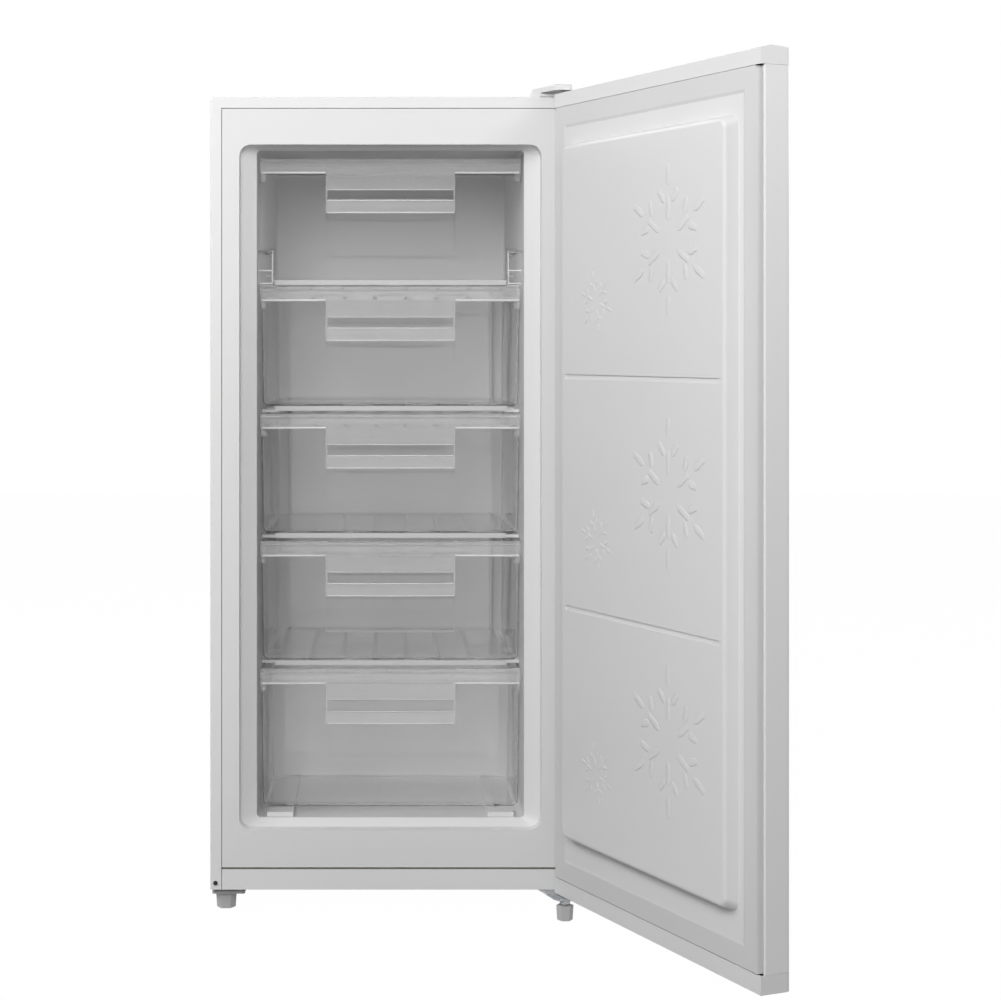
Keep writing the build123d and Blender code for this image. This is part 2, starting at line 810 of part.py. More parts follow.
def door_bottom_cap():
    high = door_low + cap_high
    wall = 2.2
    with BuildPart() as cap:
        add(door_plan(0, cap_back, (door_low, high)))
        fillet(cap.faces().sort_by(Axis.Z)[0].edges(), 1.2)
        add(door_plan(wall, cap_back - wall, (door_low + wall, high + 1)), mode=Mode.SUBTRACT)
        post(pivot_x, pivot_y, (door_low + 1, high), bush_radius + gap + 1.4)
        add(door_plan(0, cap_back, (door_low, high)), mode=Mode.INTERSECT)
        post(pivot_x, pivot_y, (door_low - 2, high + 2), bush_radius + gap, Mode.SUBTRACT)
    return cap.part


def hinge_bushes():
    with BuildPart() as bushes:
        for z in ((door_low + 0.4, door_low + cap_high - 1), (door_high - cap_high + 1, door_high - 5)):
            post(pivot_x, pivot_y, z, bush_radius)
        post(pivot_x, pivot_y, (0, 1300), pin_radius + run, Mode.SUBTRACT)
    return bushes.part


def plug_form(inset):
    """Solid under the raised middle of the door liner, its surface moved in by inset."""
    base = seal_seat - door_wall - (1 if inset else 0)
    platform = seal_out - seal_wide - gap - inset
    low = door_low + cap_high + seal_low + seal_wide + gap + inset
    high = door_high - cap_high - seal_high - seal_wide - gap - inset
    face = -door_wall - inset
    top = plug_face - inset
    foot = (plug_half - inset, plug_low + inset, plug_high - inset, 14)
    crown = (plug_half - plug_draft - inset, plug_low + plug_draft + inset,
             plug_high - plug_draft - inset, 14)
    inner = plug_half - plug_draft - groove_inset + inset
    with BuildPart() as form:
        block((-platform, platform), (base, face), (low, high))
        loft(sections=[upright_section(face, *foot), upright_section(top, *crown)])
        fillet(form.faces().sort_by(Axis.Y)[-1].edges(), 6 - inset)
        for middle in groove_heights:
            half = groove_half + inset
            block((-inner, inner), (top - groove_deep, top + 1), (middle - half, middle + half), Mode.SUBTRACT)
    return form.part


def door_liner():
    """Vacuum-formed inner face of the door: seal seat, platform and raised plug."""
    side = cab_half - 2 * hem - gap
    z = (door_low + cap_high + gap, door_high - cap_high - gap)
    with BuildPart() as liner:
        block((-side, side), (seal_seat - door_wall, seal_seat), z)
        add(plug_form(0))
        add(plug_form(door_wall), mode=Mode.SUBTRACT)
    return liner.part


def door_foam():
    side = cab_half - 2 * hem - gap
    z = (door_low + cap_high + 2 * gap, door_high - cap_high - 2 * gap)
    with BuildPart() as foam:
        add(door_plan(sheet + gap, seal_seat - door_wall - gap, z))
        add(plug_form(door_wall + gap))
        for x in ((side, 300), (-300, -side)):
            block(x, (door_back - 2 * hem - gap, 0), (0, 1300), Mode.SUBTRACT)
    return foam.part


def seal_ring(spare, y):
    """Frame-shaped ring along the middle line of the seal, narrowed on both sides by spare."""
    out_low = door_low + cap_high + seal_low + spare
    out_high = door_high - cap_high - seal_high - spare
    out = seal_out - spare
    inner = seal_out - seal_wide + spare
    in_low = out_low + seal_wide - 2 * spare
    in_high = out_high - seal_wide + 2 * spare
    with BuildPart() as ring:
        block((-out, out), y, (out_low, out_high))
        block((-inner, inner), (y[0] - 1, y[1] + 1), (in_low, in_high), Mode.SUBTRACT)
    return ring.part


def door_gasket():
    """Soft seal with a closed channel for its magnets."""
    with BuildPart() as gasket:
        add(seal_ring(0, (seal_seat + gap, seal_face)))
        corners = gasket.edges().filter_by(Axis.Y)
        fillet(corners.group_by(SortBy.DISTANCE)[-1], 6)
        add(seal_ring(8, (seal_seat + 4.7, seal_face - 1)), mode=Mode.SUBTRACT)
        add(seal_ring(3, (seal_seat + 1.3, seal_seat + 3.4)), mode=Mode.SUBTRACT)
    return gasket.part


def gasket_magnets():
    with BuildPart() as magnets:
        add(seal_ring(8.4, (seal_seat + 5.0, seal_face - 1.3)))
        for x in (-300, 300):
            block((x - 70, x + 70), (-12, 2), (636, 636.6), Mode.SUBTRACT)
    return magnets.part


# ================================================================ drawers
def tub_plan(z, inset, back):
    """Plan of a drawer at one height."""
    share = (back - drawer_front) / (drawer_back - drawer_front)
    rear = drawer_half + (drawer_rear_half - drawer_half) * share - inset
    front = drawer_half - inset
    near = drawer_front + inset
    with BuildSketch(Plane.XY.offset(z)) as plan:
        with BuildLine():
            Polyline((-front, near), (front, near), (rear, back - inset), (-rear, back - inset), close=True)
        make_face()
        fillet(plan.vertices().group_by(Axis.Y)[0], front_corner - inset)
        fillet(plan.vertices().group_by(Axis.Y)[-1], drawer_corner - inset)
    return plan.sketch


def pocket(top, grow):
    """Room for the fingers behind the apron, let into the front wall."""
    low = top - pocket_low - 2 * grow
    deep = drawer_front + pocket_deep + grow
    near = drawer_front + grow
    high = top - pocket_top + grow
    profile = [(50, low), (near, low), (deep, top - 40 - grow), (deep, high), (50, high)]
    return cross_section(profile, (-grip_half - grow, grip_half + grow))


def tub_volume(inset, floor, top, back):
    """Drawer outline between floor and top with its lower edges rounded."""
    low = side_draft + inset
    with BuildPart() as form:
        loft(sections=[tub_plan(floor, low, back), tub_plan(top, inset, back)])
        fillet(form.faces().sort_by(Axis.Z)[0].edges(), floor_radius - inset)
    return form.part


def drawer_box(number):
    """Clear tub, open at the top, with the finger pocket in its front wall."""
    top = rim_tops[number]
    last = number == 3
    floor = low_drawer_floor if last else top - drawer_deep
    back = low_drawer_back if last else drawer_back
    edge = top - rim_lip - gap
    with BuildPart() as room:
        add(tub_volume(drawer_wall, floor + drawer_wall, edge, back))
        with BuildSketch(Plane.XY.offset(edge)):
            add(tub_plan(edge, drawer_wall, back))
        extrude(amount=2)
        add(pocket(top, drawer_wall), mode=Mode.SUBTRACT)
    with BuildPart() as tub:
        add(tub_volume(0, floor, edge, back))
        add(pocket(top, 0), mode=Mode.SUBTRACT)
        add(room.part, mode=Mode.SUBTRACT)
    return tub.part


def bar_form(out, z):
    """Bowed strip across the finger pocket, out proud of the label holder's middle."""
    front = bar_front - out
    back = bar_front + bar_thick
    with BuildPart() as strip:
        with BuildSketch(Plane.XY.offset(z[0])):
            with BuildLine():
                ThreePointArc((-grip_half, front + bar_bow), (0, front), (grip_half, front + bar_bow))
                Line((grip_half, front + bar_bow), (grip_half, back + bar_bow))
                ThreePointArc((grip_half, back + bar_bow), (0, back), (-grip_half, back + bar_bow))
                Line((-grip_half, back + bar_bow), (-grip_half, front + bar_bow))
            make_face()
        extrude(amount=z[1] - z[0])
    return strip.part


def front_trim(top):
    """Moulded drawer front: beaded rim, ribbed apron, label holder and end webs."""
    seat = drawer_front - gap
    rim = [(seat + 3.3, top), (seat + 3.3, top - rim_lip), (seat, top - rim_lip), (seat, top - rim_tall)]
    rim += [(61, top - rim_tall), (58.6, top - 20), (57.6, top - 16), (57.6, top - 12), (58.8, top - 8.4)]
    rim += [(60.6, top - 7.4), (60.6, top - 6.2), (59.2, top - 5.2), (58.6, top - 3.2), (59.2, top - 1.2)]
    rim += [(61, top)]
    low = top - apron_low
    apron = [(58.6, top - 20), (62, top - 20), (apron_back + 1.6, low + 1), (apron_back, low)]
    apron += [(apron_back - 1.8, low), (58.6, top - 22)]
    rib = [(60, top - 21), (57.2, top - 22.5), (62.6, low + 2), (apron_back - 1, low + 1)]
    gusset = [(59, top - 21), (seat, top - 21), (seat, top - 35), (65, top - 34)]
    with BuildPart() as trim:
        add(cross_section(rim, (-drawer_half, drawer_half)))
        add(cross_section(apron, (-grip_half, grip_half)))
        for number in range(rib_count):
            x = (number - (rib_count - 1) / 2) * rib_pitch
            add(cross_section(rib, (x - 1.7, x + 1.7)))
        for side in (-1, 1):
            web = sorted((side * (grip_half - 1), side * (grip_half + 1.6)))
            block(web, (bar_front + 1.5, seat), (top - bar_low, top - rim_tall + 1))
            ends = sorted((side * (drawer_half - 9), side * (drawer_half - 1)))
            add(cross_section(gusset, ends))
        add(bar_form(0, (top - bar_low, top - bar_top)))
        add(bar_form(0.9, (top - bar_low, top - bar_low + 2)))
        add(bar_form(0.9, (top - bar_top - 2, top - bar_top)))
    return trim.part


def bottom_guides():
    """Two runners on the liner's floor under the lowest drawer."""
    top = low_drawer_floor - gap
    low = hold_low + gap
    with BuildPart() as guides:
        for side in (-1, 1):
            block(sorted((side * 150, side * 190)), (hold_front + 4, hold_front + 42), (low, top))
            block(sorted((side * 150, side * 162)), (hold_front + 40, hump_front - 12), (low, top))
    return guides.part


# ================================================================ flap
def flap_panel():
    """Clear drop-down front of the upper compartment, hung on two pins."""
    top = flap_top - rim_lip - gap
    y = (flap_front, flap_front + flap_thick)
    with BuildPart() as panel:
        block((-drawer_half + 0.5, drawer_half - 0.5), y, (flap_notch, top))
        block((-flap_low_half, flap_low_half), y, (flap_low, flap_notch + 1))
        add(pocket(flap_top, flap_thick))
        block((-300, 300), (0, flap_front), (flap_low, flap_top), Mode.SUBTRACT)
        add(pocket(flap_top, 0), mode=Mode.SUBTRACT)
        for side in (-1, 1):
            ear = sorted((side * (flap_low_half - 5), side * flap_low_half))
            block(ear, (flap_pin_y - 3, flap_front + 1), (flap_pin_z - 4, flap_pin_z + 4))
            pin = sorted((side * (flap_low_half - 2), side * (flap_low_half + 10)))
            rod_x(flap_pin_y, flap_pin_z, pin, 2.5)
    return panel.part


def flap_frame():
    """Scalloped sill with the two brackets that hold the flap's pins."""
    low = rim_tops[0] + 1.5
    wall = wall_half(flap_pin_y + 14) - gap
    middle = flap_pin_z + 26
    with BuildPart() as frame:
        block((-wall, wall), (62, 70), (low, flap_low - 1))
        for number in range(-8, 9):
            post(number * 23, 52, (low - 1, flap_low), 12.4, Mode.SUBTRACT)
        for side in (-1, 1):
            span = sorted((side * (flap_low_half + 2), side * wall))
            block(span, (flap_pin_y - 14, flap_pin_y + 14), (low, middle))
            rod_x(flap_pin_y, middle, span, 14)
        for side in (-1, 1):
            bore = sorted((side * (flap_low_half + 1), side * (flap_low_half + 11)))
            rod_x(flap_pin_y, flap_pin_z, bore, 2.5 + run, Mode.SUBTRACT)
    return frame.part


# ================================================================ all pieces, written in place
def write_cabinet():
    keep(cabinet_wrap(), "cabinet_wrap", stand)
    keep(back_panel(), "back_panel", stand)
    keep(base_pan(), "base_pan", stand)
    keep(compressor_tray(), "compressor_tray", stand)
    keep(front_bottom_rail(), "front_bottom_rail", stand)
    keep(liner_collar(), "liner_collar", stand)
    keep(inner_liner(), "inner_liner", stand)
    keep(cabinet_foam(), "cabinet_foam", stand)
    keep(top_hinge_bracket(), "top_hinge_bracket", stand)
    keep(top_hinge_pin(), "top_hinge_pin", stand)
    keep(top_hinge_cover(), "top_hinge_cover", stand)
    keep(bottom_hinge_bracket(), "bottom_hinge_bracket", stand)
    keep(bottom_hinge_pin(), "bottom_hinge_pin", stand)
    keep(hinge_screws(), "hinge_screws", stand)
    keep(blanking_plug(), "blanking_plug", stand)
    keep(foot_socket(), "foot_socket", stand)
    keep(foot_nut(), "foot_nut", stand)
    keep(rear_feet(), "rear_feet", stand)
    keep(bottom_guides(), "bottom_guides", stand)
    keep(flap_frame(), "flap_frame", stand)


def write_cooling():
    keep(condenser_coil(2.4), "condenser_coil", stand)
    keep(compressor(), "compressor", stand)
    keep(compressor_mounts(), "compressor_mounts", stand)
    keep(compressor_screws(), "compressor_screws", stand)
    keep(terminal_cover(), "terminal_cover", stand)
    keep(filter_drier(), "filter_drier", stand * Pos(drier_x, 0, 0))
    keep(suction_line(suction_radius), "suction_line", stand)
    keep(capillary_tube(capillary_radius), "capillary_tube", stand)
    keep(thermostat_body(), "thermostat_body", stand)
    keep(thermostat_knob(), "thermostat_knob", stand)
    keep(mains_inlet(), "mains_inlet", stand)
    for number, height in enumerate(evaporator_levels()):
        keep(evaporator_shelf(height), f"evaporator_shelf_{number + 1}", stand)
    keep(evaporator_links(), "evaporator_links", stand)
    keep(shelf_ledges(), "shelf_ledges", stand)


def write_door():
    keep(door_skin(), "door_skin", door_place)
    keep(door_top_cap(), "door_top_cap", door_place)
    keep(door_bottom_cap(), "door_bottom_cap", door_place)
    keep(door_foam(), "door_foam", door_place)
    keep(door_liner(), "door_liner", door_place)
    keep(door_gasket(), "door_gasket", door_place)
    keep(gasket_magnets(), "gasket_magnets", door_place)
    keep(hinge_bushes(), "hinge_bushes", door_place)


def write_moving():
    keep(hex_foot(-foot_x, foot_y, foot_radius, foot_high, cab_low + 14), "foot_left", stand)
    right = hex_foot(front_foot_x, front_foot_y, front_foot_radius, 22, low_plate_top)
    keep(right, "foot_right", stand)
    for number in range(4):
        keep(drawer_box(number), f"drawer_box_{number + 1}", stand)
        keep(front_trim(rim_tops[number]), f"drawer_front_{number + 1}", stand)
    keep(flap_panel(), "flap_panel", stand)
    keep(front_trim(flap_top), "flap_trim", stand)


write_cabinet()
write_cooling()
write_door()
write_moving()
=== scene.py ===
import json
from math import cos, pi, radians, sin

import bmesh
import bpy
from mathutils import Matrix, Vector


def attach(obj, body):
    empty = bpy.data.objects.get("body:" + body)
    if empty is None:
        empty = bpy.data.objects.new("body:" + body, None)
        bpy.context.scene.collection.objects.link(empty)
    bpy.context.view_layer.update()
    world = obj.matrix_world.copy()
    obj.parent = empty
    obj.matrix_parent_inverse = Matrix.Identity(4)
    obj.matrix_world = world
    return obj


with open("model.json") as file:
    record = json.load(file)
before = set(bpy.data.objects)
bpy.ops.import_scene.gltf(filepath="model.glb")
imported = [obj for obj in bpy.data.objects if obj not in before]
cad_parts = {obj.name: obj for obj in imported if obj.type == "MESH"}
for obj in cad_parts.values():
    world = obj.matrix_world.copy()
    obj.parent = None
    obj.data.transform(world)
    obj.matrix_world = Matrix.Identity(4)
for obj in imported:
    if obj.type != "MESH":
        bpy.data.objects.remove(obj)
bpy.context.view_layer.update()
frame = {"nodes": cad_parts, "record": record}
nodes = frame["nodes"]

MM = 0.001
MIDDLE = -0.120                      # the cabinet's own middle plane
PIVOT = Vector((0.268, -0.020, 0))   # door pins, in the cabinet's own frame
DOOR_OPEN = radians(114)
PANEL_FACE = 0.017                   # depth at which the door's raised middle ends, the door shut
WHITE = (1, 1, 1, 1)


def link_object(name, data):
    """New object at the origin, in the scene's collection."""
    made = bpy.data.objects.new(name, data)
    bpy.context.collection.objects.link(made)
    return made


# ------------------------------------------------------------------ camera and lamps
def make_camera():
    """Level camera above half height, its lens shifted down and towards the open door."""
    data = bpy.data.cameras.new("camera")
    data.lens = 75
    data.sensor_width = 36
    data.shift_x = 0.110
    data.shift_y = -0.154
    camera = link_object("camera", data)
    camera.location = (MIDDLE, -3.183, 0.8645)
    camera.rotation_euler = (radians(90), 0, 0)
    bpy.context.scene.camera = camera


def make_lamp(name, place, aim, size, power, mirrored=True):
    """Rectangular softbox turned towards a point, mirrored or not in metal and glass."""
    data = bpy.data.lights.new(name, "AREA")
    data.shape = "RECTANGLE"
    data.size, data.size_y = size
    data.energy = power
    lamp = link_object(name, data)
    lamp.location = place
    lamp.rotation_euler = (Vector(aim) - Vector(place)).to_track_quat("-Z", "Y").to_euler()
    lamp.visible_glossy = mirrored
    lamp.visible_transmission = mirrored


def make_lamps():
    """Key from the upper left, a small fill for the open door, and a broad lamp for each other side."""
    make_lamp("key_softbox", place=(-1.75, -1.15, 2.1), aim=(-0.1, -0.1, 0.9), size=(1.5, 1.0), power=27)
    make_lamp("fill_softbox", place=(1.3, -1.1, 1.85), aim=(0.35, -0.5, 1.0), size=(0.5, 0.4), power=6.5)
    # unmirrored, or it leaves square patches in the finger pockets of the clear fronts
    make_lamp("front_softbox", place=(-0.45, -2.8, 1.8), aim=(-0.1, 0.2, 0.6), size=(1.2, 1.0), power=42,
              mirrored=False)
    make_lamp("rear_softbox", place=(-1.4, 3.2, 2.6), aim=(-0.1, 0.3, 0.7), size=(2.0, 1.6), power=34)
    make_lamp("side_softbox", place=(2.9, 1.3, 2.0), aim=(0.2, 0.1, 0.7), size=(1.6, 1.4), power=30)


# ------------------------------------------------------------------ shader helpers
def linear(code):
    """sRGB hex colour as the linear values that a shader takes."""
    parts = [int(code[i:i + 2], 16) / 255 for i in (0, 2, 4)]
    return tuple(p / 12.92 if p <= 0.04045 else ((p + 0.055) / 1.055) ** 2.4 for p in parts) + (1,)


def add_node(tree, kind, settings=None, inputs=None):
    """Adds a node; an input given as another node's output is linked, any other is set."""
    made = tree.nodes.new(kind)
    for name, value in (settings or {}).items():
        setattr(made, name, value)
    for name, value in (inputs or {}).items():
        socket = made.inputs[name]
        if isinstance(value, bpy.types.NodeSocket):
            tree.links.new(value, socket)
        else:
            socket.default_value = value
    return made


def new_material(name):
    """Material with an empty node tree, and that tree."""
    made = bpy.data.materials.new(name)
    made.use_nodes = True
    made.node_tree.nodes.clear()
    return made, made.node_tree


def noise(tree, across_mm, detail):
    """Noise on the piece's own coordinates, in patches of a given size."""
    place = add_node(tree, "ShaderNodeTexCoord").outputs["Object"]
    return add_node(tree, "ShaderNodeTexNoise", None,
                    {"Vector": place, "Scale": 1 / (across_mm * MM), "Detail": detail}).outputs["Fac"]


def relief(tree, height, depth_mm, below=None):
    """Bump of a real depth, over another one where it is given."""
    inputs = {"Height": height, "Strength": 1.0, "Distance": depth_mm * MM}
    if below is not None:
        inputs["Normal"] = below
    return add_node(tree, "ShaderNodeBump", None, inputs).outputs["Normal"]


def between(tree, share, first, second):
    """Colour between two linear ones."""
    mix = add_node(tree, "ShaderNodeMix", {"data_type": "RGBA"}, {0: share, 6: first, 7: second})
    return mix.outputs[2]


def spread(tree, value, middle, swing):
    """Roughness that varies with a value about its middle."""
    return add_node(tree, "ShaderNodeMapRange", None,
                    {"Value": value, "To Min": middle - swing, "To Max": middle + swing}).outputs["Result"]


TONE_PATCH = 250        # mm across a patch of slightly different tone
SHEEN_SWING = 0.04      # how far roughness strays on a moulded or painted surface
PATCH_SWING = 0.08      # and from patch to patch of a metal


def moulded(name, colour, rough, grain, wave, shade, **sockets):
    """Opaque surface with a grain and a slow wave, each (mm across, mm deep), and an uneven tone."""
    made, tree = new_material(name)
    tone = noise(tree, TONE_PATCH, 3.0)
    rise = noise(tree, wave[0], 1.0)
    darker = tuple(part * (1 - 2 * shade) for part in linear(colour)[:3]) + (1,)
    surface = relief(tree, noise(tree, grain[0], 2.0), grain[1], below=relief(tree, rise, wave[1]))
    shader = add_node(tree, "ShaderNodeBsdfPrincipled", None,
                      {"Base Color": between(tree, tone, linear(colour), darker),
                       "Roughness": spread(tree, rise, rough, SHEEN_SWING), "Normal": surface})
    for socket, value in sockets.items():
        shader.inputs[socket.replace("_", " ")].default_value = value
    add_node(tree, "ShaderNodeOutputMaterial", None, {"Surface": shader.outputs["BSDF"]})
    return made


def clear(name, colour, rough, through, ripple):
    """Refracting polystyrene with ripples, (mm across, mm deep); it hardly dims shadow and diffuse rays."""
    made, tree = new_material(name)
    resin = add_node(tree, "ShaderNodeBsdfPrincipled", None,
                     {"Base Color": linear(colour), "Roughness": rough, "IOR": 1.50,
                      "Transmission Weight": through,
                      "Normal": relief(tree, noise(tree, ripple[0], 1.5), ripple[1])})
    air = add_node(tree, "ShaderNodeBsdfTransparent", None, {"Color": (0.99, 0.99, 0.99, 1)})
    path = add_node(tree, "ShaderNodeLightPath").outputs
    free = add_node(tree, "ShaderNodeMath", {"operation": "MAXIMUM"},
                    {0: path["Is Shadow Ray"], 1: path["Is Diffuse Ray"]})
    mixed = add_node(tree, "ShaderNodeMixShader", None,
                     {0: free.outputs[0], 1: resin.outputs["BSDF"], 2: air.outputs["BSDF"]})
    add_node(tree, "ShaderNodeOutputMaterial", None, {"Surface": mixed.outputs[0]})
    return made


def metal(name, colour, second, rough, patch_mm, spangled=False, bare=1.0):
    """Metal in patches or sharp spangles of two tones; an oxide film dulls what isn't bare."""
    made, tree = new_material(name)
    if spangled:
        place = add_node(tree, "ShaderNodeTexCoord").outputs["Object"]
        cell = add_node(tree, "ShaderNodeTexVoronoi", None,
                        {"Vector": place, "Scale": 1 / (patch_mm * MM)}).outputs["Color"]
        patch = add_node(tree, "ShaderNodeSeparateColor", None, {"Color": cell}).outputs[0]
    else:
        patch = noise(tree, patch_mm, 2.0)
    shader = add_node(tree, "ShaderNodeBsdfPrincipled", None,
                      {"Base Color": between(tree, patch, linear(colour), linear(second)),
                       "Metallic": bare, "Roughness": spread(tree, patch, rough, PATCH_SWING)})
    add_node(tree, "ShaderNodeOutputMaterial", None, {"Surface": shader.outputs["BSDF"]})
    return made


# ------------------------------------------------------------------ finishes
# Grain finer than about a millimetre is drawn that coarse, or it wouldn't show.
FINISHES = {
    # stoved white enamel on sheet steel: faint orange peel, about 2 mm across, under a clean gloss
    "painted_steel": moulded("stoved_enamel", "E6E6E6", 0.34, grain=(2.2, 0.012), wave=(60, 0.02),
                             shade=0.01, Coat_Weight=0.25),
    # injection-moulded ABS: spark-eroded grain
    "white_moulding": moulded("moulded_abs", "E3E3E3", 0.42, grain=(1.2, 0.02), wave=(40, 0.02),
                              shade=0.015),
    # vacuum-formed high-impact polystyrene: soft sheen, slightly wavy where the sheet was drawn
    "liner_plastic": moulded("formed_polystyrene", "E2E2E2", 0.38, grain=(1.6, 0.008), wave=(45, 0.05),
                             shade=0.012),
    # moulded general-purpose polystyrene: glass clear, flow ripples show in its reflections
    "clear_plastic": clear("crystal_polystyrene", "FDFDFD", 0.04, through=1.0, ripple=(30, 0.06)),
    # the same resin from a finely textured tool, a little whiter and softer in its reflections
    "trim_plastic": clear("satin_polystyrene", "FBFBFB", 0.09, through=0.88, ripple=(12, 0.04)),
    # soft PVC extrusion: matt, a little darker than the mouldings
    "seal": moulded("soft_pvc", "D9D9D9", 0.6, grain=(1.5, 0.02), wave=(30, 0.05), shade=0.02),
    # rigid polyurethane foam: open cut cells about 1.5 mm across
    "foam": moulded("polyurethane_foam", "E3D6A4", 0.9, grain=(1.5, 0.5), wave=(20, 0.3), shade=0.08),
    # galvanised sheet: zinc spangle in grains about 10 mm across, dulled by its oxide
    "zinc_steel": metal("galvanised_sheet", "C6C9CB", "A4A8AB", 0.46, patch_mm=10, spangled=True, bare=0.6),
    # black polypropylene: fine matt grain
    "bay_plastic": moulded("black_polypropylene", "1D1E20", 0.5, grain=(1.0, 0.03), wave=(25, 0.02),
                           shade=0.05),
    # stoved black enamel on the compressor's deep-drawn can
    "black_can": moulded("black_enamel", "121315", 0.3, grain=(2.0, 0.015), wave=(35, 0.05),
                         shade=0.05, Coat_Weight=0.4),
    # drawn copper tube, dulled in patches by handling
    "copper": metal("dulled_copper", "B9764F", "8A5A3E", 0.36, patch_mm=14),
    # natural rubber bushes
    "mount_rubber": moulded("black_rubber", "141414", 0.8, grain=(0.8, 0.04), wave=(20, 0.02), shade=0.05),
    # ferrite-filled strip
    "magnet": moulded("ferrite_strip", "222224", 0.7, grain=(0.6, 0.03), wave=(20, 0.02), shade=0.05),
    # powder-coated steel tube and wire
    "shelf_tube": moulded("powder_coated_tube", "CFCFCF", 0.45, grain=(0.8, 0.02), wave=(30, 0.02),
                          shade=0.02),
    # natural nylon feet: slightly grey and waxy
    "foot_plastic": moulded("nylon", "C9C9C9", 0.4, grain=(1.0, 0.02), wave=(20, 0.02),
                            shade=0.03, Subsurface_Weight=0.1),
}


def dress_nodes():
    """Every CAD piece gets the finish of its own material slot."""
    for entry in frame["record"]["subparts"]:
        piece = nodes[entry["node"]]
        finish = FINISHES[entry["material_slot"]]
        if not piece.material_slots:
            piece.data.materials.append(finish)
        for slot in piece.material_slots:
            slot.material = finish


# ------------------------------------------------------------------ pieces
UPRIGHT = Matrix(((1, 0, 0, 0), (0, 0, 1, 0), (0, 1, 0, 0), (0, 0, 0, 1)))   # a flat drawing stood up


def door_place():
    """From the shut door, in the cabinet's own frame, to where the open door stands."""
    stand = Matrix.Translation((MIDDLE, 0, 0))
    return (stand @ Matrix.Translation(PIVOT) @ Matrix.Rotation(DOOR_OPEN, 4, "Z")
            @ Matrix.Translation(-PIVOT))


def plain_mesh(name, source):
    """Takes an object's evaluated shape as an ordinary mesh, and clears the object away."""
    graph = bpy.context.evaluated_depsgraph_get()
    mesh = bpy.data.meshes.new_from_object(source.evaluated_get(graph), depsgraph=graph)
    bpy.data.objects.remove(source)
    mesh.name = name
    return mesh


def add_piece(name, mesh, body, slot, smooth=True):
    """Object at the origin that rides on a body and has one finish."""
    mesh.materials.clear()
    mesh.materials.append(FINISHES[slot])
    if smooth:
        for face in mesh.polygons:
            face.use_smooth = True
    piece = link_object(name, mesh)
    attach(piece, body)


# ------------------------------------------------------------------ relief on the door
# start and end of each stroke of one arm, as shares of its reach
ARM_STROKES = (((0.24, 0, 0), (0.58, 0, 0)), ((0.70, 0, 0), (1.0, 0, 0)),
               ((0.50, 0.08, 0), (0.66, 0.24, 0)), ((0.50, -0.08, 0), (0.66, -0.24, 0)))
STROKE_SWELL = ((0.0, 0.15), (0.35, 1.0), (0.75, 0.8), (1.0, 0.1))   # share along, share of its width
STROKE_POINTS = 9
RIDGE_SIDES = 10


def socket_of(modifier, name):
    """Identifier of a modifier's named input."""
    for item in modifier.node_group.interface.items_tree:
        if item.item_type == "SOCKET" and item.in_out == "INPUT" and item.name == name:
            return item.identifier
    raise KeyError(name)


